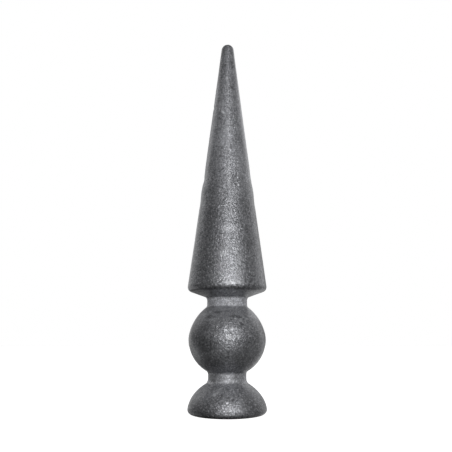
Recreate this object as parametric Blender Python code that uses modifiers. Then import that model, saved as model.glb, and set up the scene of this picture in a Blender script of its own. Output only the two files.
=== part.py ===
# A fence finial: a long round spike over a ball, on a domed foot, forged in one piece.
# Lengths are in metres and +Z is up. The origin is the centre of the flat underside,
# which meets the top of the post. Everything is turned about the Z axis.

from math import acos, atan2, copysign, cos, hypot, pi, sin, tan

import bpy

# Foot, from the flat underside up to the lower neck
FOOT_RADIUS = 0.0152
FOOT_HEIGHT = 0.0117
FOOT_RIM_HEIGHT = 0.0017      # height of the foot's widest ring
FOOT_RIM_INSET = 0.0020       # how far the flat underside stays inside that ring
FOOT_CROWN = 1.18             # 1 is a quarter ellipse, and more is straighter sided

# Lower neck
LOWER_NECK_RADIUS = 0.0075
LOWER_NECK_LENGTH = 0.0039
LOWER_NECK_WAIST = 0.00004    # how far the neck draws in at half its length

# Ball, slightly pressed on its lower side
BALL_RADIUS = 0.0150
BALL_RISE = 0.0151            # height of a whole half ball above its widest ring
BALL_CROWN = 1.19             # its upper half has straighter shoulders than an ellipse
BALL_DROP = 0.0144            # depth of a whole half ball below it

# Upper neck
UPPER_NECK_RADIUS = 0.0079
UPPER_NECK_LENGTH = 0.0035
UPPER_NECK_WAIST = 0.00006

# Spike, from the upper neck to the tip
SPIKE_RADIUS = 0.0157
SPIKE_HEIGHT = 0.1032         # from the spike's rim to its tip
SPIKE_UNDERSIDE_RISE = 0.0028  # the underside slopes up this much from neck to rim
SPIKE_HOLLOW = 0.0002         # how far the side bows in at half its height
TIP_RADIUS = 0.0026

# Roundings of the corners
FOOT_TO_NECK_FILLET = 0.0011
NECK_TO_BALL_FILLET = 0.0013
BALL_TO_NECK_FILLET = 0.0013
NECK_TO_SPIKE_FILLET = 0.0014
SPIKE_RIM_ROUNDING = 0.0020

# Fineness of the faceted surface
TURN_STEPS = 64
FOOT_RIM_STEPS = 5
FOOT_DOME_STEPS = 9
NECK_STEPS = 2
BALL_STEPS = 16
SPIKE_STEPS = 10
TIP_STEPS = 4
CORNER_STEPS = 4
MERGE_DISTANCE = 0.00001

STEEL_COLOUR = (0.135, 0.138, 0.146, 1.0)
STEEL_ROUGHNESS = 0.5
STEEL_METALLIC = 0.85


def ellipse_arc(middle, half_width, half_height, start, end, steps, crown=1.0):
    """Profile points along an ellipse centred on the axis, or a straighter curve with a crown over 1."""
    points = []
    for step in range(steps + 1):
        angle = start + (end - start) * step / steps
        rise = copysign(abs(sin(angle)) ** crown, angle)
        points.append((half_width * cos(angle), middle + half_height * rise))
    return points


def neck_run(radius, waist, top, length):
    """Points down a neck, between its two ends, drawn in by its waist."""
    points = []
    for step in range(1, NECK_STEPS):
        share = step / NECK_STEPS
        points.append((radius - waist * sin(pi * share), top - length * share))
    return points


def rounded_corner(before, corner, after, radius):
    """An arc that touches both lines at a corner, limited by the shorter of them."""
    arms = []
    for point in (before, after):
        run, rise = point[0] - corner[0], point[1] - corner[1]
        arms.append((run, rise, hypot(run, rise)))
    (run_a, rise_a, length_a), (run_b, rise_b, length_b) = arms
    half_angle = acos((run_a * run_b + rise_a * rise_b) / (length_a * length_b)) / 2
    reach = min(radius / tan(half_angle), 0.9 * length_a, 0.9 * length_b)
    radius = reach * tan(half_angle)
    first = (corner[0] + run_a / length_a * reach, corner[1] + rise_a / length_a * reach)
    last = (corner[0] + run_b / length_b * reach, corner[1] + rise_b / length_b * reach)
    bisector = atan2(first[1] + last[1] - 2 * corner[1], first[0] + last[0] - 2 * corner[0])
    distance = radius / sin(half_angle)
    centre = (corner[0] + distance * cos(bisector), corner[1] + distance * sin(bisector))
    start = atan2(first[1] - centre[1], first[0] - centre[0])
    sweep = atan2(last[1] - centre[1], last[0] - centre[0]) - start
    sweep = (sweep + pi) % (2 * pi) - pi
    angles = [start + sweep * step / CORNER_STEPS for step in range(CORNER_STEPS + 1)]
    return [(centre[0] + radius * cos(angle), centre[1] + radius * sin(angle)) for angle in angles]


def spike_side(rim_height, tip_height):
    """Points from the tip on the axis down the side to just above the rim."""
    tip_centre = tip_height - TIP_RADIUS
    lean = atan2(SPIKE_RADIUS - TIP_RADIUS, tip_centre - rim_height)
    points = ellipse_arc(tip_centre, TIP_RADIUS, TIP_RADIUS, pi / 2, lean, TIP_STEPS)
    points[0] = (0.0, tip_height)
    shoulder_radius, shoulder_height = points[-1]
    for step in range(1, SPIKE_STEPS):
        share = step / SPIKE_STEPS
        hollow = SPIKE_HOLLOW * 4 * share * (1 - share)
        radius = shoulder_radius + (SPIKE_RADIUS - shoulder_radius) * share - hollow
        points.append((radius, shoulder_height + (rim_height - shoulder_height) * share))
    return points


def foot_dome():
    """Points down the foot's domed top, from the lower neck to the widest ring."""
    neck_angle = acos(LOWER_NECK_RADIUS / FOOT_RADIUS)
    whole = (FOOT_HEIGHT - FOOT_RIM_HEIGHT) / sin(neck_angle) ** FOOT_CROWN
    return ellipse_arc(
        FOOT_RIM_HEIGHT, FOOT_RADIUS, whole, neck_angle, 0.0, FOOT_DOME_STEPS, FOOT_CROWN)


def foot_rim():
    """Points round the foot's lower edge and in along the underside to the axis."""
    points = []
    for step in range(1, FOOT_RIM_STEPS + 1):
        angle = pi / 2 * (1 - step / FOOT_RIM_STEPS)
        radius = FOOT_RADIUS - FOOT_RIM_INSET * (1 - sin(angle))
        points.append((radius, FOOT_RIM_HEIGHT * (1 - cos(angle))))
    points.append((0.0, 0.0))
    return points


def finial_outline():
    """The outer side of the finial as (radius, height) points, from the tip to the underside."""
    lower_neck_top = FOOT_HEIGHT + LOWER_NECK_LENGTH
    ball_start = acos(UPPER_NECK_RADIUS / BALL_RADIUS)
    ball_end = acos(LOWER_NECK_RADIUS / BALL_RADIUS)
    ball_middle = lower_neck_top + BALL_DROP * sin(ball_end)
    upper_neck_bottom = ball_middle + BALL_RISE * sin(ball_start) ** BALL_CROWN
    upper_neck_top = upper_neck_bottom + UPPER_NECK_LENGTH
    rim_height = upper_neck_top + SPIKE_UNDERSIDE_RISE
    tip_height = rim_height + SPIKE_HEIGHT

    half_steps = BALL_STEPS // 2
    upper_ball = ellipse_arc(
        ball_middle, BALL_RADIUS, BALL_RISE, ball_start, 0.0, half_steps, BALL_CROWN)
    lower_ball = ellipse_arc(ball_middle, BALL_RADIUS, BALL_DROP, 0.0, -ball_end, half_steps)
    side = spike_side(rim_height, tip_height)
    rim = (SPIKE_RADIUS, rim_height)
    under_neck = (UPPER_NECK_RADIUS, upper_neck_top)
    upper_neck = neck_run(UPPER_NECK_RADIUS, UPPER_NECK_WAIST, upper_neck_top, UPPER_NECK_LENGTH)
    lower_neck = neck_run(LOWER_NECK_RADIUS, LOWER_NECK_WAIST, lower_neck_top, LOWER_NECK_LENGTH)
    dome = foot_dome()

    outline = list(side)
    outline += rounded_corner(side[-1], rim, under_neck, SPIKE_RIM_ROUNDING)
    outline += rounded_corner(rim, under_neck, upper_neck[0], NECK_TO_SPIKE_FILLET)
    outline += upper_neck
    outline += rounded_corner(upper_neck[-1], upper_ball[0], upper_ball[1], BALL_TO_NECK_FILLET)
    outline += upper_ball[1:] + lower_ball[1:-1]
    outline += rounded_corner(lower_ball[-2], lower_ball[-1], lower_neck[0], NECK_TO_BALL_FILLET)
    outline += lower_neck
    outline += rounded_corner(lower_neck[-1], dome[0], dome[1], FOOT_TO_NECK_FILLET)
    outline += dome[1:]
    outline += foot_rim()
    return outline


def steel_material():
    """Bare forged steel, dark grey and half dull."""
    material = bpy.data.materials.new("forged steel")
    material.use_nodes = True
    shader = material.node_tree.nodes["Principled BSDF"]
    shader.inputs["Base Color"].default_value = STEEL_COLOUR
    shader.inputs["Roughness"].default_value = STEEL_ROUGHNESS
    shader.inputs["Metallic"].default_value = STEEL_METALLIC
    return material


def turned_finial(collection):
    """The outline as a chain of edges at +X, turned about the Z axis."""
    points = [(radius, 0.0, height) for radius, height in finial_outline()]
    edges = [(index, index + 1) for index in range(len(points) - 1)]
    mesh = bpy.data.meshes.new("finial")
    mesh.from_pydata(points, edges, [])
    mesh.materials.append(steel_material())
    finial = bpy.data.objects.new("finial", mesh)
    collection.objects.link(finial)
    turn = finial.modifiers.new("turn", "SCREW")
    turn.axis = "Z"
    turn.angle = 2 * pi
    turn.steps = TURN_STEPS
    turn.render_steps = TURN_STEPS
    turn.use_merge_vertices = True
    turn.merge_threshold = MERGE_DISTANCE
    turn.use_smooth_shade = True
    return finial


def main():
    for old in list(bpy.data.objects):
        bpy.data.objects.remove(old)
    collection = bpy.data.collections.new("fence finial")
    bpy.context.scene.collection.children.link(collection)
    turned_finial(collection)


main()
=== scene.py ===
from math import acos, atan2, copysign, cos, exp, pi, radians, sin, tan

import bpy
import numpy
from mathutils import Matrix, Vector


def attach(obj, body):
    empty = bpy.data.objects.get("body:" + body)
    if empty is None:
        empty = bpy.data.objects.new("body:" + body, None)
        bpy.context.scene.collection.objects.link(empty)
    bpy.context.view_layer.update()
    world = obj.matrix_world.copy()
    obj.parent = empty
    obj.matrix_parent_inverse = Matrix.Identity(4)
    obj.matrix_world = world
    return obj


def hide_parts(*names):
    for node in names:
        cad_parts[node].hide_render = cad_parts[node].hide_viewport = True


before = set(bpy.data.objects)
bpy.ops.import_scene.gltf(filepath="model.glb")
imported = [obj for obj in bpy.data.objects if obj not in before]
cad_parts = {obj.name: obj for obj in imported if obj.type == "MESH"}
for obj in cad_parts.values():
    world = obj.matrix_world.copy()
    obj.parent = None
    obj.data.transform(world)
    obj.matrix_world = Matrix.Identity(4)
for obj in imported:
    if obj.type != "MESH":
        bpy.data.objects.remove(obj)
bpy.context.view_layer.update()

# A forged steel fence finial on a pale studio floor.
# Blender works in metres here, and the settings are in millimetres and degrees.

mm = 0.001


class Wire:
    # a node's output that understands + - * / and **

    def __init__(self, board, socket):
        self.board = board
        self.socket = socket

    def other(self, name):  # another output of the same node
        return Wire(self.board, self.socket.node.outputs[name])

    def __add__(self, value):
        return self.board.maths("ADD", self, value)

    def __sub__(self, value):
        return self.board.maths("SUBTRACT", self, value)

    def __rsub__(self, value):
        return self.board.maths("SUBTRACT", value, self)

    def __mul__(self, value):
        return self.board.maths("MULTIPLY", self, value)

    def __truediv__(self, value):
        return self.board.maths("DIVIDE", self, value)

    def __rtruediv__(self, value):
        return self.board.maths("DIVIDE", value, self)

    def __pow__(self, value):
        return self.board.maths("POWER", self, value)

    __radd__ = __add__
    __rmul__ = __mul__


class Board:
    # one node tree, and the ways to put nodes on it

    def __init__(self, tree):
        self.tree = tree
        tree.nodes.clear()

    def node(self, kind, settings=None, values=None, out=0):
        made = self.tree.nodes.new(kind)
        for name, value in (settings or {}).items():
            if name == "stops":
                self.setStops(made.color_ramp, value)
            else:
                setattr(made, name, value)
        for name, value in (values or {}).items():
            if isinstance(value, Wire):
                self.tree.links.new(value.socket, made.inputs[name])
            else:
                made.inputs[name].default_value = value
        return Wire(self, made.outputs[out]) if made.outputs else made

    def setStops(self, ramp, stops):
        while len(ramp.elements) < len(stops):
            ramp.elements.new(0.5)
        for element, (place, colour) in zip(ramp.elements, stops):
            element.position = place
            element.color = colour

    def maths(self, operation, first, second):
        return self.node("ShaderNodeMath", {"operation": operation}, {0: first, 1: second})

    def rise(self, value, start, end, low=0.0, high=1.0):  # a smooth step from low to high
        settings = {"interpolation_type": "SMOOTHSTEP"}
        places = {"Value": value, "From Min": start, "From Max": end, "To Min": low, "To Max": high}
        return self.node("ShaderNodeMapRange", settings, places)

    def mixColour(self, share, first, second, blend="MIX"):
        settings = {"data_type": "RGBA", "blend_type": blend}
        return self.node("ShaderNodeMix", settings, {0: share, 6: first, 7: second}, out=2)

    def noise(self, place, size, detail=2.0, roughness=0.5):  # size is one patch, in mm
        values = {"Vector": place, "Scale": 1 / (size * mm), "Detail": detail, "Roughness": roughness}
        return self.node("ShaderNodeTexNoise", {}, values, out="Fac")


# the outline, from the tip down to the flat underside

shape = {
    "footRadius": 15.2, "footHeight": 11.7, "footRimHeight": 1.7, "footRimInset": 2.0, "footCrown": 1.18,
    "lowerNeckRadius": 7.5, "lowerNeckLength": 3.9, "lowerNeckWaist": 0.04,
    "ballRadius": 15.0, "ballRise": 15.1, "ballCrown": 1.19, "ballDrop": 14.4,
    "upperNeckRadius": 7.9, "upperNeckLength": 3.5, "upperNeckWaist": 0.06,
    "spikeRadius": 15.7, "spikeHeight": 103.2, "spikeUndersideRise": 2.8, "spikeHollow": 0.2,
    "tipRadius": 2.6,
    "footToNeckFillet": 1.1, "neckToBallFillet": 1.3, "ballToNeckFillet": 1.3, "neckToSpikeFillet": 1.4,
    "spikeRimRounding": 2.0,
    # height, reach and swell of the rings that the forging left on the spike and under the lower neck
    "rings": ((93.0, 3.0, -0.14), (86.3, 2.5, 0.14), (81.5, 2.0, -0.08), (11.8, 0.6, 0.22)),
    "arcSteps": 48, "spikeSteps": 160, "cornerSteps": 8,
    "filletPoints": 4,     # points of the spike, the ball or the foot that a fillet may take
    "filletShare": 0.9,    # share of a line that a fillet may take
    "neckEndShare": 0.25,  # share of a neck, at each end, that is left to the fillets
}


def arcPoints(middle, halfWidth, halfHeight, start, end, crown=1.0):  # over 1 the crown is straighter
    points = []
    for step in range(shape["arcSteps"] + 1):
        angle = start + (end - start) * step / shape["arcSteps"]
        rise = copysign(abs(sin(angle)) ** crown, angle)
        points.append((halfWidth * cos(angle), middle + halfHeight * rise))
    return points


def neckPoints(radius, waist, top, length):
    ends = shape["neckEndShare"]
    shares = [step / shape["cornerSteps"] for step in range(1, shape["cornerSteps"])]
    shares = [ends + (1 - 2 * ends) * share for share in shares]
    return [(radius - waist * sin(pi * share), top - length * share) for share in shares]


def roundedCorner(before, corner, after, radius):
    arms = [Vector(point) - Vector(corner) for point in (before, after)]
    halfAngle = arms[0].angle(arms[1]) / 2
    reach = min(radius / tan(halfAngle), *(shape["filletShare"] * arm.length for arm in arms))
    radius = reach * tan(halfAngle)
    first, last = (Vector(corner) + arm.normalized() * reach for arm in arms)
    bisector = (first + last - 2 * Vector(corner)).normalized()
    centre = Vector(corner) + bisector * radius / sin(halfAngle)
    start = atan2(first.y - centre.y, first.x - centre.x)
    sweep = atan2(last.y - centre.y, last.x - centre.x) - start
    sweep = (sweep + pi) % (2 * pi) - pi
    angles = [start + sweep * step / shape["cornerSteps"] for step in range(shape["cornerSteps"] + 1)]
    return [(centre.x + radius * cos(angle), centre.y + radius * sin(angle)) for angle in angles]


def spikePoints(rimHeight, tipHeight):
    tipMiddle = tipHeight - shape["tipRadius"]
    lean = atan2(shape["spikeRadius"] - shape["tipRadius"], tipMiddle - rimHeight)
    points = arcPoints(tipMiddle, shape["tipRadius"], shape["tipRadius"], pi / 2, lean)
    shoulder = points[-1]
    for step in range(1, shape["spikeSteps"]):
        share = step / shape["spikeSteps"]
        hollow = shape["spikeHollow"] * 4 * share * (1 - share)  # deepest half way
        radius = shoulder[0] + (shape["spikeRadius"] - shoulder[0]) * share - hollow
        points.append((radius, shoulder[1] + (rimHeight - shoulder[1]) * share))
    return points


def footPoints():
    neckAngle = acos(shape["lowerNeckRadius"] / shape["footRadius"])
    whole = (shape["footHeight"] - shape["footRimHeight"]) / sin(neckAngle) ** shape["footCrown"]
    points = arcPoints(
        shape["footRimHeight"], shape["footRadius"], whole, neckAngle, 0, shape["footCrown"])
    for step in range(1, shape["cornerSteps"] + 1):
        angle = pi / 2 * (1 - step / shape["cornerSteps"])
        radius = shape["footRadius"] - shape["footRimInset"] * (1 - sin(angle))
        points.append((radius, shape["footRimHeight"] * (1 - cos(angle))))
    return points


def ballAngle(neckRadius):  # from the ball's widest ring to a neck
    return acos(shape[neckRadius] / shape["ballRadius"])


def levels():  # heights of the corners, from the foot up
    at = {"lowerNeckBottom": shape["footHeight"]}
    at["lowerNeckTop"] = at["lowerNeckBottom"] + shape["lowerNeckLength"]
    at["ballMiddle"] = at["lowerNeckTop"] + shape["ballDrop"] * sin(ballAngle("lowerNeckRadius"))
    rise = sin(ballAngle("upperNeckRadius")) ** shape["ballCrown"]
    at["upperNeckBottom"] = at["ballMiddle"] + shape["ballRise"] * rise
    at["upperNeckTop"] = at["upperNeckBottom"] + shape["upperNeckLength"]
    at["rim"] = at["upperNeckTop"] + shape["spikeUndersideRise"]
    at["tip"] = at["rim"] + shape["spikeHeight"]
    return at


def ringSwell(height):
    return sum(swell * exp(-((height - middle) / reach) ** 2) for middle, reach, swell in shape["rings"])


def outlinePoints():
    at = levels()
    reachIn = shape["filletPoints"]
    spike = spikePoints(at["rim"], at["tip"])[:-reachIn]
    rim = (shape["spikeRadius"], at["rim"])
    underNeck = (shape["upperNeckRadius"], at["upperNeckTop"])
    upperNeck = neckPoints(
        shape["upperNeckRadius"], shape["upperNeckWaist"], at["upperNeckTop"], shape["upperNeckLength"])
    upperBall = arcPoints(
        at["ballMiddle"], shape["ballRadius"], shape["ballRise"], ballAngle("upperNeckRadius"), 0,
        shape["ballCrown"])
    lowerBall = arcPoints(
        at["ballMiddle"], shape["ballRadius"], shape["ballDrop"], 0, -ballAngle("lowerNeckRadius"))
    lowerNeck = neckPoints(
        shape["lowerNeckRadius"], shape["lowerNeckWaist"], at["lowerNeckTop"], shape["lowerNeckLength"])
    foot = footPoints()
    points = spike + roundedCorner(spike[-1], rim, underNeck, shape["spikeRimRounding"])
    points += roundedCorner(rim, underNeck, upperNeck[0], shape["neckToSpikeFillet"]) + upperNeck
    points += roundedCorner(upperNeck[-1], upperBall[0], upperBall[reachIn], shape["ballToNeckFillet"])
    points += upperBall[reachIn:] + lowerBall[1:-reachIn]
    points += roundedCorner(lowerBall[-1 - reachIn], lowerBall[-1], lowerNeck[0], shape["neckToBallFillet"])
    points += lowerNeck + roundedCorner(lowerNeck[-1], foot[0], foot[reachIn], shape["footToNeckFillet"])
    return [(radius + ringSwell(height), height) for radius, height in points + foot[reachIn:]]


# the turned body with its forged skin, made by Geometry Nodes

skin = {
    "around": 240, "rows": 414, "seed": 11,   # columns and rows of the sheet, and the seed of the pits
    "waveSize": 22.0, "waveDepth": 0.16,      # long waves left by the dies
    "lumpSize": 5.0, "lumpDepth": 0.05,
    "pebbleSize": 1.25, "pebbleDepth": 0.045,
    "pitSpacing": 2.2, "pitRadius": 0.55, "pitDepth": 0.07,
    "inset": 0.045,                           # how far the skin lies inside the outline
    "smoothBelow": 0.6,                       # the underside stays flat up to this height
    # the spike stands a hair to the left of the ball, and leans to the right
    "spikeShift": -0.01, "shiftBlend": 2.0, "spikeLean": 0.25,
    "leanFrom": levels()["upperNeckTop"], "leanTo": levels()["tip"],
}


def skinInputs(tree):
    tree.interface.new_socket(name="Geometry", in_out="INPUT", socket_type="NodeSocketGeometry")
    tree.interface.new_socket(name="Steel", in_out="INPUT", socket_type="NodeSocketMaterial")
    for name, value in skin.items():
        kind = "NodeSocketInt" if isinstance(value, int) else "NodeSocketFloat"
        tree.interface.new_socket(name=name, in_out="INPUT", socket_type=kind)
    tree.interface.new_socket(name="Geometry", in_out="OUTPUT", socket_type="NodeSocketGeometry")


def skinTree():
    tree = bpy.data.node_groups.new("turnedForging", "GeometryNodeTree")
    skinInputs(tree)
    board = Board(tree)
    given = board.node("NodeGroupInput")
    outline = board.node("GeometryNodeMeshToCurve", {}, {"Mesh": given})

    # a sheet of rows and columns, wrapped round the axis along the outline
    across = given.other("around") + 1
    sheet = board.node(
        "GeometryNodeMeshGrid", {},
        {"Size X": 1.0, "Size Y": 1.0, "Vertices X": across, "Vertices Y": given.other("rows")}, out="Mesh")
    place = board.node("GeometryNodeInputPosition")
    onSheet = board.node("ShaderNodeSeparateXYZ", {}, {0: place}, out="X")
    turn = (0.5 - onSheet) * (2 * pi)  # clockwise from above, so that the faces point outwards
    down = onSheet.other("Y") + 0.5
    rowsLeft = given.other("rows") - 1
    alongOutline = down * rowsLeft / (rowsLeft - 1)
    onOutline = board.node(
        "GeometryNodeSampleCurve", {"mode": "FACTOR"}, {"Curves": outline, "Factor": alongOutline},
        out="Position")
    # the last row is the middle of the underside
    lastRow = board.maths("GREATER_THAN", alongOutline, 1.0 + 0.5 / given.other("rows"))
    profile = board.node(
        "GeometryNodeSwitch", {"input_type": "VECTOR"},
        {"Switch": lastRow, "False": onOutline, "True": (0.0, 0.0, 0.0)})
    wrapped = board.node(
        "ShaderNodeVectorRotate", {"rotation_type": "Z_AXIS"}, {"Vector": profile, "Angle": turn})
    body = board.node("GeometryNodeSetPosition", {}, {"Geometry": sheet, "Position": wrapped})
    seam = 0.001 * mm  # points as close as this are one, which closes the sheet and both poles
    body = board.node("GeometryNodeMergeByDistance", {}, {"Geometry": body, "Distance": seam})

    normal = board.node("GeometryNodeInputNormal")
    upward = board.node("ShaderNodeSeparateXYZ", {}, {0: normal}, out="Z")
    body = board.node(
        "GeometryNodeStoreNamedAttribute", {"data_type": "FLOAT", "domain": "POINT"},
        {"Geometry": body, "Name": "upward", "Value": upward})

    # long waves, lumps and pebbles, measured out from the turned surface
    def layer(name, detail, shift):  # the shift gives each layer a noise of its own
        size, depth = given.other(name + "Size"), given.other(name + "Depth")
        moved = board.node(
            "ShaderNodeVectorMath", {"operation": "ADD"}, {0: place, 1: (shift, shift, -shift)})
        grain = board.node(
            "ShaderNodeTexNoise", {}, {"Vector": moved, "Scale": 1 / mm / size, "Detail": detail}, out="Fac")
        return (grain - 0.5) * depth * mm

    height = layer("wave", detail=1.0, shift=0.31) + layer("lump", detail=1.0, shift=0.62)
    height = height + layer("pebble", detail=2.0, shift=0.93)

    # single pits, strewn over the surface
    density = 1 / mm ** 2 / given.other("pitSpacing") ** 2
    pits = board.node(
        "GeometryNodeDistributePointsOnFaces", {},
        {"Mesh": body, "Density": density, "Seed": given.other("seed")}, out="Points")
    distance = board.node("GeometryNodeProximity", {"target_element": "POINTS"}, {0: pits}, out="Distance")
    pitted = board.rise(distance / (given.other("pitRadius") * mm), 1.0, 0.0)
    height = height - (pitted * given.other("pitDepth") + given.other("inset")) * mm

    level = board.node("ShaderNodeSeparateXYZ", {}, {0: place}, out="Z")
    kept = board.rise(level / (given.other("smoothBelow") * mm), 0.0, 1.0)
    outward = board.node(
        "ShaderNodeVectorMath", {"operation": "SCALE"}, {"Vector": normal, "Scale": height * kept})
    leanFrom, leanTo = given.other("leanFrom") * mm, given.other("leanTo") * mm
    above = board.node("ShaderNodeMapRange", {}, {"Value": level, "From Min": leanFrom, "From Max": leanTo})
    blend = given.other("shiftBlend") * mm
    onSpike = board.rise(level, leanFrom - blend, leanFrom + blend)
    sideways = (onSpike * given.other("spikeShift") + above * given.other("spikeLean")) * mm
    sideways = board.node("ShaderNodeCombineXYZ", {}, {"X": sideways})
    moved = board.node("ShaderNodeVectorMath", {"operation": "ADD"}, {0: outward, 1: sideways})
    body = board.node("GeometryNodeSetPosition", {}, {"Geometry": body, "Offset": moved})
    body = board.node(
        "GeometryNodeStoreNamedAttribute", {"data_type": "FLOAT", "domain": "POINT"},
        {"Geometry": body, "Name": "pitted", "Value": pitted})
    body = board.node("GeometryNodeSetShadeSmooth", {}, {"Geometry": body})
    body = board.node("GeometryNodeRealizeInstances", {}, {"Geometry": body})
    body = board.node("GeometryNodeSetMaterial", {}, {"Geometry": body, "Material": given.other("Steel")})
    board.node("NodeGroupOutput", {}, {"Geometry": body})
    return tree


def turnedBody(steel):
    points = [(radius * mm, 0.0, height * mm) for radius, height in outlinePoints()]
    edges = [(index, index + 1) for index in range(len(points) - 1)]
    mesh = bpy.data.meshes.new("outline")
    mesh.from_pydata(points, edges, [])
    outline = bpy.data.objects.new("outline", mesh)
    bpy.context.scene.collection.objects.link(outline)
    tree = skinTree()
    modifier = outline.modifiers.new("forging", "NODES")
    modifier.node_group = tree
    sockets = {item.name: item.identifier for item in tree.interface.items_tree if item.in_out == "INPUT"}
    modifier[sockets["Steel"]] = steel
    for name, value in skin.items():
        modifier[sockets[name]] = value
    ready = outline.evaluated_get(bpy.context.evaluated_depsgraph_get())
    made = bpy.data.meshes.new_from_object(ready)
    made.materials.pop(index=0)  # the outline's own empty slot
    bpy.data.objects.remove(outline)
    strikeMarks(made)
    body = bpy.data.objects.new("forgedFinial", made)
    bpy.context.scene.collection.objects.link(body)
    return body


# single marks of the forging and of use, among them painted highlights
# azimuth to the right of the front, height, half width, half length, slant, depth and shade,
# where a shade over 0 is a dark hollow, and one under 0 a bright spot;
# the gleams, shines, sparks and specks are painted highlights

marks = {
    # spike
    "edgeNick": (-87.0, 121.9, 1.6, 1.0, 0.0, 0.28, 0.5),
    "edgeScar": (-80.0, 117.5, 1.0, 2.4, 0.0, 0.06, 0.45),
    "gouge": (-34.0, 118.0, 0.8, 2.0, 35.0, 0.16, 0.8),
    "gougeFoot": (-27.0, 115.4, 0.7, 1.5, -30.0, 0.12, 0.8),
    "gougeEdge": (-17.0, 118.4, 0.5, 1.2, -45.0, -0.04, -0.8),
    "shallowScar": (-52.0, 115.5, 0.9, 2.0, 20.0, 0.06, 0.6),
    "diagonalScar": (26.0, 129.0, 0.6, 1.6, -40.0, 0.06, 1.0),
    "topPit": (-12.0, 139.5, 0.6, 0.7, 0.0, 0.06, 1.0),
    "crossPit": (0.5, 117.2, 0.6, 0.6, 0.0, 0.07, 0.9),
    "leftPit": (-15.0, 102.8, 0.65, 0.7, 0.0, 0.1, 1.2),
    "rightPit": (11.0, 102.8, 0.6, 0.6, 0.0, 0.07, 0.9),
    "lowerLeftPit": (-18.0, 99.6, 0.6, 0.6, 0.0, 0.07, 0.9),
    "singlePit": (-10.6, 93.7, 0.65, 0.65, 0.0, 0.08, 1.1),
    "clusterPitA": (21.0, 91.0, 0.5, 0.65, 0.0, 0.09, 1.2),
    "clusterPitB": (27.5, 89.4, 0.5, 0.5, 0.0, 0.08, 1.1),
    "clusterPitC": (20.5, 87.4, 0.5, 0.65, 0.0, 0.09, 1.2),
    "clusterPitD": (29.0, 86.7, 0.5, 0.5, 0.0, 0.08, 1.1),
    "clusterPitE": (24.5, 85.0, 0.5, 0.5, 0.0, 0.08, 1.1),
    "clusterSpark": (24.3, 90.2, 0.5, 0.5, 0.0, -0.03, -1.0),
    "lowerSpark": (25.0, 86.9, 0.5, 0.5, 0.0, -0.03, -1.0),
    "sideDent": (-88.0, 91.0, 3.0, 1.8, 0.0, 0.2, 0.0),
    # foot
    "crescentTop": (-14.5, 10.3, 0.5, 1.3, 50.0, 0.0, -0.4),
    "crescentMiddle": (-18.5, 9.3, 0.6, 1.2, 25.0, 0.0, -0.4),
    "crescentFoot": (-22.4, 8.2, 0.7, 1.1, -10.0, 0.0, -0.45),
    "footPit": (9.0, 6.7, 0.6, 0.6, 0.0, 0.09, 1.2),
    "footSidePit": (30.7, 5.5, 0.6, 0.6, 0.0, 0.09, 1.2),
    "footEdgeDent": (4.0, 1.9, 1.8, 0.7, 0.0, 0.12, 0.2),
    # spike
    "tipGleam": (-0.5, 133.0, 0.5, 1.3, 0.0, 0.0, -0.4),
    "spikeArc": (3.0, 68.2, 3.6, 0.6, 0.0, 0.03, 0.45),
    "rimSpeck": (38.0, 48.6, 0.7, 0.5, 0.0, 0.0, -0.35),
    # ball
    "ballArcTop": (-0.6, 38.4, 1.0, 0.8, 0.0, 0.0, 1.1),
    "ballArcLeft": (-18.0, 38.0, 1.8, 0.8, 0.0, 0.0, 1.1),
    "ballArcSide": (-35.5, 36.4, 1.8, 1.0, -12.0, 0.03, 1.2),
    "ballArcRight": (17.0, 36.5, 2.5, 0.9, 8.0, 0.03, 1.3),
    "ballHollowRight": (24.0, 33.8, 1.3, 0.7, 40.0, 0.04, 0.8),
    "ballHollowLeft": (-31.4, 33.5, 1.3, 0.9, 0.0, 0.04, 0.4),
    "ballStroke": (-21.2, 35.0, 0.5, 1.4, 0.0, 0.0, -0.25),
    "ballShineSide": (-36.3, 38.2, 1.0, 0.5, -25.0, 0.0, -0.2),
    "ballShineLeft": (15.6, 35.7, 0.9, 0.5, 0.0, 0.0, -0.35),
    "ballShineRight": (22.8, 35.1, 0.9, 0.5, 5.0, 0.0, -0.35),
    "ballGleamLeft": (-1.1, 31.5, 0.7, 0.5, -10.0, 0.0, -0.7),
    "ballGleamRight": (7.7, 31.7, 0.7, 0.5, 0.0, 0.0, -0.7),
    "ballSpeckLeft": (-22.7, 24.0, 0.5, 0.5, 0.0, 0.0, -0.5),
    "ballSpeckRight": (-16.8, 23.3, 0.6, 0.5, 0.0, 0.0, -0.35),
    # foot
    "footGleam": (0.4, 5.6, 0.5, 0.5, 0.0, 0.0, -0.6),
    # the spike's underside
    "undersideStreak": (-58.0, 46.1, 0.5, 1.1, 0.0, 0.0, -0.25),
    "undersideLineLeft": (-22.5, 45.9, 1.3, 0.5, 0.0, 0.0, -0.15),
    "undersideLineRight": (11.5, 45.6, 0.9, 0.5, 0.0, 0.0, -0.25),
}

# broad patches of painted shade and painted sheen with soft edges: azimuth, height, half width, half length
# and shade, where a shade over 0 is painted shade, darker and a little rougher than the skin, and one under
# 0 painted sheen, paler

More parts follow.
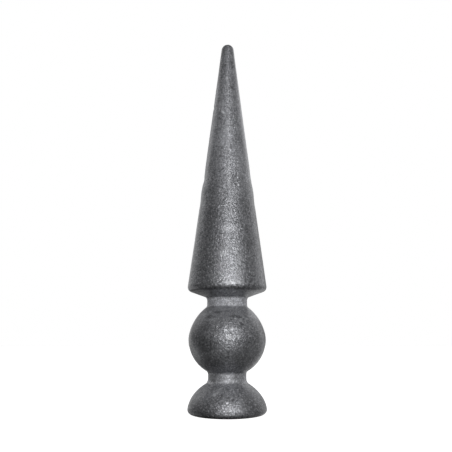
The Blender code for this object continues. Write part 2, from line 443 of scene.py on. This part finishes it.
paintedShadeAndSheen = {
    # spike
    "leftUpperSheen": (-74.0, 112.0, 4.0, 28.0, -0.25),
    "rightUpperSheen": (76.0, 114.0, 3.6, 32.0, -0.17),
    "leftSheen": (-80.0, 85.0, 2.5, 38.0, -0.34),
    "upperPaintedSheen": (-30.0, 122.0, 1.9, 5.0, -0.12),
    "leftShadow": (-52.0, 105.0, 1.8, 12.0, 0.3),
    "rightShadow": (52.0, 106.0, 1.8, 9.0, 0.35),
    "leftPaintedSheen": (-19.0, 104.0, 2.6, 5.5, -0.09),
    "rightPaintedSheen": (38.0, 92.0, 4.0, 13.0, -0.1),
    "leftPaintedShade": (-30.0, 84.0, 2.6, 3.5, 0.28),
    "middlePaintedShade": (1.0, 83.5, 3.2, 3.5, 0.3),
    "spikeSheen": (1.0, 69.6, 3.8, 1.5, -0.22),
    "rightSheen": (29.0, 66.6, 1.5, 2.8, -0.06),
    "lowerSheen": (-9.0, 60.0, 2.6, 1.4, -0.2),
    "lowerRightSheen": (37.0, 57.0, 1.6, 3.5, -0.07),
    # the spike's rim and underside
    "rimSheen": (9.0, 49.2, 4.5, 1.0, -0.15),
    "rimLeftSheen": (-32.0, 47.4, 5.0, 1.0, -0.07),
    "rimEdgeSheen": (-66.0, 47.6, 4.0, 1.0, -0.06),
    "undersideShadow": (-68.0, 45.8, 5.0, 2.2, 0.55),
    "undersideSheen": (72.0, 45.6, 3.5, 1.8, -0.34),
    "undersideEdgeShade": (-88.0, 45.4, 4.0, 3.4, 1.3),
    # upper neck
    "neckLeftSheen": (-55.0, 42.2, 4.5, 3.0, -0.07),
    "neckRightSheen": (55.0, 42.2, 4.5, 3.0, -0.07),
    # ball
    "ballCollarSheen": (-18.0, 39.7, 5.0, 1.7, -0.16),
    "ballCollarRightSheen": (22.0, 39.7, 5.0, 1.7, -0.11),
    "ballTopSheen": (-4.0, 37.0, 9.0, 3.5, -0.06),
    "ballShadow": (-58.0, 32.8, 6.5, 5.2, 0.85),
    "ballRightShadow": (58.0, 31.5, 4.5, 5.5, 0.35),
    "ballRightSheen": (40.0, 23.0, 3.0, 2.5, -0.09),
    "ballLowSheen": (-36.0, 21.0, 8.0, 5.5, -0.08),
    "ballFootSheen": (25.0, 19.0, 8.0, 4.0, -0.07),
    "ballFootLeftSheen": (-38.0, 17.2, 5.0, 3.0, -0.13),
    # lower neck
    "lowerNeckSheen": (4.0, 15.4, 3.6, 1.1, -0.3),
    "lowerNeckShadow": (48.0, 13.6, 2.2, 2.5, 0.25),
    "lowerNeckPaintedShade": (9.0, 12.5, 3.2, 0.9, 0.45),
    # foot
    "footShadow": (-52.0, 5.2, 7.0, 5.2, 0.33),
    "footRightShadow": (52.0, 6.5, 7.0, 6.0, 0.6),
    "footRightSheen": (84.0, 6.0, 3.0, 6.0, -0.25),
}

markFlare = 1.5  # over 1, a hollow runs out gently at its edge


def spotWeight(places, normals, azimuth, height, halfWidth, halfLength, slant):
    # 1 in the middle of an oval spot on the surface, and 0 from its edge outwards
    middle = nearestPoint(places, azimuth, height)
    outward = normals[middle]
    across = numpy.cross((0.0, 0.0, 1.0), outward)
    across /= numpy.linalg.norm(across)
    along = numpy.cross(outward, across)
    reach = places - places[middle]
    turn = radians(slant)
    right, up = reach @ across, reach @ along
    first = (right * cos(turn) - up * sin(turn)) / halfWidth
    second = (right * sin(turn) + up * cos(turn)) / halfLength
    third = reach @ outward / (halfWidth + halfLength)
    return numpy.clip(1 - first ** 2 - second ** 2 - third ** 2, 0.0, 1.0)


def strikeMarks(mesh):
    places = readPoints(mesh, "co") / mm
    normals = readPoints(mesh, "normal")
    pitted = numpy.empty(len(mesh.vertices))
    mesh.attributes["pitted"].data.foreach_get("value", pitted)
    worn = numpy.zeros(len(mesh.vertices))
    soft = [(*spot, 0.0, 0.0, shade) for *spot, shade in paintedShadeAndSheen.values()]  # no slant and no depth
    # the dark hollows and the painted shade of the soft patches darken the skin; the bright spots, painted
    # highlights and painted sheen lighten it
    for *spot, depth, shade in [*marks.values(), *soft]:
        weight = spotWeight(places, normals, *spot)
        places -= normals * (depth * weight ** markFlare)[:, None]
        pitted = numpy.maximum(pitted, numpy.sqrt(weight) * shade)
        worn = numpy.maximum(worn, -numpy.sqrt(weight) * shade)
    mesh.vertices.foreach_set("co", (places * mm).ravel())
    mesh.attributes["pitted"].data.foreach_set("value", pitted)
    mesh.attributes.new("worn", "FLOAT", "POINT").data.foreach_set("value", worn)
    mesh.update()


def readPoints(mesh, name):
    values = numpy.empty(len(mesh.vertices) * 3)
    mesh.vertices.foreach_get(name, values)
    return values.reshape(-1, 3)


def nearestPoint(places, azimuth, height):
    heading = towards(azimuth, 0.0)
    radius = numpy.hypot(places[:, 0], places[:, 1])
    goals = numpy.column_stack((radius * heading.x, radius * heading.y, numpy.full_like(radius, height)))
    gaps = places - goals
    return (gaps ** 2).sum(1).argmin()


# bare forged steel

steelLook = {
    "dark": (0.165, 0.168, 0.177, 1.0),
    "light": (0.3, 0.304, 0.321, 1.0),
    "glint": (0.5, 0.506, 0.535, 1.0),
    # thin pale scale, in its thinnest and thickest grains
    "paleThin": (0.24, 0.245, 0.263, 1.0),
    "paleThick": (0.53, 0.54, 0.58, 1.0),
    # the dark tint of pits, creases and painted shade, and the pale tint of worn spots, painted highlights
    # and painted sheen
    "pitAndShadeTint": (0.05, 0.05, 0.053, 1.0),
    "wearAndSheenTint": (0.85, 0.86, 0.9, 1.0),
    # height and gain of the tone along the piece
    "tones": ((0.0, 1.0), (45.0, 1.0), (52.0, 1.07), (68.0, 0.96), (80.0, 0.97), (92.0, 1.08), (112.0, 1.1),
              (130.0, 1.0), (150.0, 0.86)),
    # how much pale scale lies in the necks, on what faces upwards and on the upper spike
    "upperNeckPale": 1.0, "lowerNeckPale": 0.35, "upwardPale": 0.4, "topPale": 0.3,
    "upwardRange": (0.35, 0.8), "topRange": (70.0, 105.0),
    "neckGain": (1.45, 1.445, 1.43, 1.0), "neckEdge": 0.5,
    "metallic": 0.85, "paleMetallic": 0.3,
    "roughness": 0.38, "roughnessSpread": 0.25, "paleRoughness": 0.76,
    "patchSize": 6.0, "creaseSize": 2.6, "grainSize": 0.7, "fineSize": 0.4, "sparkSize": 0.9,
    # how much of the grain is in a pattern, and between which values the pattern takes effect
    "toneGrain": 0.75, "toneRange": (0.36, 0.64), "glintGrain": 0.4, "glintRange": (0.54, 0.65),
    "paleGrain": 0.5, "paleRange": (0.36, 0.6), "paleLeast": 0.5, "paleMost": 1.2,
    "scaleRange": (0.33, 0.67),
    "creaseWidth": 0.04, "creaseGrainRange": (0.4, 0.6), "creaseShade": 0.5,
    "pitShade": 0.6, "pitRoughness": 0.1,
    # sparks, which are painted glints, are fewer from the spike's rim up
    "sparkRange": (0.66, 0.75), "sparkShade": 0.5, "sparkBelow": 0.8, "sparkAbove": 0.3, "sparkFade": 20.0,
    "creaseHeight": 0.03, "grainHeight": 0.2, "fineHeight": 0.105, "neckSmoothing": 0.5,
    "oil": 0.35, "oilRoughness": 0.2,
}


def blended(first, second, share):  # a pattern with the given share of the second
    return first * (1 - share) + second * share


def steelMaterial():
    material = bpy.data.materials.new("bareForgedSteel")
    material.use_nodes = True
    board = Board(material.node_tree)
    place = board.node("ShaderNodeTexCoord", out="Object")
    patches = board.noise(place, steelLook["patchSize"], detail=3.0)
    grain = board.noise(place, steelLook["grainSize"], detail=2.0, roughness=0.6)
    fine = board.noise(place, steelLook["fineSize"], detail=1.0)
    # sparks: painted glints, scattered at random
    paintedGlints = board.rise(board.noise(place, steelLook["sparkSize"], detail=1.0), *steelLook["sparkRange"])
    contour = board.maths("ABSOLUTE", board.noise(place, steelLook["creaseSize"], detail=1.0) - 0.5, 0.0)
    crease = board.rise(contour, steelLook["creaseWidth"], 0.0)
    crease = crease * board.rise(grain, *steelLook["creaseGrainRange"])
    pitted = board.node("ShaderNodeAttribute", {"attribute_name": "pitted"}, out="Fac")
    worn = board.node("ShaderNodeAttribute", {"attribute_name": "worn"}, out="Fac")
    upward = board.node("ShaderNodeAttribute", {"attribute_name": "upward"}, out="Fac")
    level = board.node("ShaderNodeSeparateXYZ", {}, {0: place}, out="Z") / mm

    at, edge = levels(), steelLook["neckEdge"]
    pale = board.rise(upward, *steelLook["upwardRange"]) * steelLook["upwardPale"]
    pale = pale + board.rise(level, *steelLook["topRange"]) * steelLook["topPale"]
    inNecks = 0.0
    for neck in ("upperNeck", "lowerNeck"):
        low, high = at[neck + "Bottom"], at[neck + "Top"]
        inside = board.rise(level, low - edge, low + edge) * board.rise(level, high + edge, high - edge)
        pale = pale + inside * (steelLook[neck + "Pale"] - pale)
        inNecks = inside + inNecks
    broken = blended(patches, grain, steelLook["paleGrain"])
    pale = pale * board.rise(
        broken, *steelLook["paleRange"], low=steelLook["paleLeast"], high=steelLook["paleMost"])

    tone = board.rise(blended(patches, grain, steelLook["toneGrain"]), *steelLook["toneRange"])
    colour = board.mixColour(tone, steelLook["dark"], steelLook["light"])
    glint = board.rise(blended(fine, grain, steelLook["glintGrain"]), *steelLook["glintRange"])
    colour = board.mixColour(glint, colour, steelLook["glint"])
    thick = board.rise(fine, *steelLook["scaleRange"])
    scale = board.mixColour(thick, steelLook["paleThin"], steelLook["paleThick"])
    colour = board.mixColour(pale, colour, scale)
    colour = board.mixColour(inNecks, colour, steelLook["neckGain"], "MULTIPLY")
    # a ramp ends at 1, so it holds half the gain
    top = steelLook["tones"][-1][0]
    stops = [(height / top, (gain / 2, gain / 2, gain / 2, 1.0)) for height, gain in steelLook["tones"]]
    gain = board.node("ShaderNodeValToRGB", {"stops": stops}, {"Fac": level / top})
    gain = board.mixColour(1.0, gain, (2.0, 2.0, 2.0, 1.0), "MULTIPLY")
    colour = board.mixColour(1.0, colour, gain, "MULTIPLY")
    colour = board.mixColour(crease * steelLook["creaseShade"], colour, steelLook["pitAndShadeTint"])
    # pits, dark hollows and the painted shade of the soft patches darken the colour
    colour = board.mixColour(pitted * steelLook["pitShade"], colour, steelLook["pitAndShadeTint"])
    fewer = board.rise(
        level, at["rim"], at["rim"] + steelLook["sparkFade"],
        low=steelLook["sparkBelow"], high=steelLook["sparkAbove"])
    # bright spots, painted highlights, painted sheen and the sparks, which are painted glints, lighten the
    # colour
    bright = worn + paintedGlints * fewer * steelLook["sparkShade"]
    colour = board.mixColour(bright, colour, steelLook["wearAndSheenTint"])

    rough = steelLook["roughness"] + (fine - 0.5) * steelLook["roughnessSpread"]
    rough = rough + pitted * steelLook["pitRoughness"]
    rough = rough + pale * (steelLook["paleRoughness"] - rough)
    metallic = steelLook["metallic"] + pale * (steelLook["paleMetallic"] - steelLook["metallic"])
    height = grain * steelLook["grainHeight"] + fine * steelLook["fineHeight"]
    height = (height - crease * steelLook["creaseHeight"]) * (1.0 - inNecks * steelLook["neckSmoothing"])
    bump = board.node("ShaderNodeBump", {}, {"Strength": 1.0, "Distance": mm, "Height": height})
    shader = board.node(
        "ShaderNodeBsdfPrincipled", {},
        {"Base Color": colour, "Metallic": metallic, "Roughness": rough, "Normal": bump,
         "Coat Weight": steelLook["oil"], "Coat Roughness": steelLook["oilRoughness"]})
    board.node("ShaderNodeOutputMaterial", {}, {"Surface": shader})
    return material


# floor, surroundings, light and camera

studio = {
    "white": (1.0, 1.0, 1.0, 1.0),
    "floorRadius": 900.0, "floorSides": 96, "floorColour": (0.9, 0.9, 0.9, 1.0), "floorRoughness": 0.9,
    "floorGlow": 0.95,
    "aimHeight": 70.0,  # of the point that the lamps are turned to
    # azimuth from the camera's side towards +X, height, distance, width and power in watts
    "lamps": {
        "frontLamp": (8.0, 100.0, 350.0, 120.0, 0.39),
        "upperLamp": (8.0, 320.0, 350.0, 120.0, 0.212),
        "rightLamp": (36.0, 150.0, 350.0, 120.0, 0.143),
        "leftLamp": (-20.0, 150.0, 350.0, 120.0, 0.058),
    },
    # azimuth, elevation, sharpness and level of the pale walls round the table
    "walls": {
        "behindAboveRight": (152.0, 30.0, 25.0, 1.33),
        "behindBelowRight": (152.0, -20.0, 25.0, 0.9),
        "behindBelow": (180.0, -20.0, 25.0, 0.46),
        "behindLeft": (208.0, 5.0, 25.0, 0.85),
        "rightAbove": (125.0, 30.0, 25.0, 0.66),
        "rightMiddle": (125.0, 5.0, 25.0, 0.87),
        "rightUpper": (90.0, 40.0, 8.0, 0.33),
        "rightBelow": (90.0, -28.0, 8.0, 0.26),
        "leftAbove": (235.0, 30.0, 25.0, 1.4),
        "leftBelow": (235.0, -20.0, 25.0, 0.77),
        "frontLeftAbove": (315.0, 40.0, 8.0, 0.39),
        "frontBelow": (0.0, -28.0, 8.0, 0.58),
    },
}

view = {
    "focalPixels": 559.3, "framePixels": 452.0, "sensorWidth": 36.0,
    "distance": 220.1, "height": 31.56, "tilt": 8.73, "shift": 0.04, "sideways": -0.45,
}


def paleFloor():
    material = bpy.data.materials.new("paleFloor")
    material.use_nodes = True
    board = Board(material.node_tree)
    shader = board.node(
        "ShaderNodeBsdfPrincipled", {},
        {"Base Color": studio["floorColour"], "Roughness": studio["floorRoughness"],
         "Emission Color": studio["white"], "Emission Strength": studio["floorGlow"]})
    board.node("ShaderNodeOutputMaterial", {}, {"Surface": shader})
    bpy.ops.mesh.primitive_circle_add(
        vertices=studio["floorSides"], radius=studio["floorRadius"] * mm, fill_type="NGON")
    floor = bpy.context.object
    floor.name = "studioFloor"
    floor.data.materials.append(material)
    floor.visible_glossy = False
    floor.visible_diffuse = False


def towards(azimuth, elevation):  # a unit arrow, with azimuth 0 on the camera's side
    azimuth, elevation = radians(azimuth), radians(elevation)
    return Vector((sin(azimuth) * cos(elevation), -cos(azimuth) * cos(elevation), sin(elevation)))


def surroundings():
    world = bpy.data.worlds.new("studio")
    bpy.context.scene.world = world
    world.use_nodes = True
    board = Board(world.node_tree)
    direction = board.node("ShaderNodeTexCoord", out="Generated")
    level = 0.0
    for azimuth, elevation, sharpness, strength in studio["walls"].values():
        facing = board.node(
            "ShaderNodeVectorMath", {"operation": "DOT_PRODUCT"},
            {0: direction, 1: towards(azimuth, elevation)}, out="Value")
        level = board.maths("EXPONENT", (facing - 1.0) * sharpness, 0.0) * strength + level
    toCamera = board.node("ShaderNodeLightPath", out="Is Camera Ray")
    level = level + toCamera * (1.0 - level)
    light = board.node("ShaderNodeBackground", {}, {"Color": studio["white"], "Strength": level})
    board.node("ShaderNodeOutputWorld", {}, {"Surface": light})


def lamps():
    aim = Vector((0.0, 0.0, studio["aimHeight"] * mm))
    for name, (azimuth, height, distance, width, power) in studio["lamps"].items():
        light = bpy.data.lights.new(name, "AREA")
        light.shape = "DISK"
        light.size = width * mm
        light.energy = power
        lamp = bpy.data.objects.new(name, light)
        lamp.location = (towards(azimuth, 0.0) * distance + Vector((0.0, 0.0, height))) * mm
        lamp.rotation_euler = (aim - lamp.location).to_track_quat("-Z", "Y").to_euler()
        bpy.context.scene.collection.objects.link(lamp)


def camera():
    lens = bpy.data.cameras.new("camera")
    lens.sensor_width = view["sensorWidth"]
    lens.lens = view["focalPixels"] / view["framePixels"] * view["sensorWidth"]
    lens.shift_y = view["shift"]
    eye = bpy.data.objects.new("camera", lens)
    eye.location = (view["sideways"] * mm, -view["distance"] * mm, view["height"] * mm)
    eye.rotation_euler = (radians(90 + view["tilt"]), 0, 0)
    bpy.context.scene.collection.objects.link(eye)
    bpy.context.scene.camera = eye


bpy.context.scene.view_settings.view_transform = "Standard"
camera()
paleFloor()
surroundings()
lamps()
print("studio ready")

steel = steelMaterial()
print("steel ready")

body = turnedBody(steel)
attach(body, "root")
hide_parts("finial")
print("finial turned:", len(body.data.vertices), "points,", len(body.data.polygons), "faces")
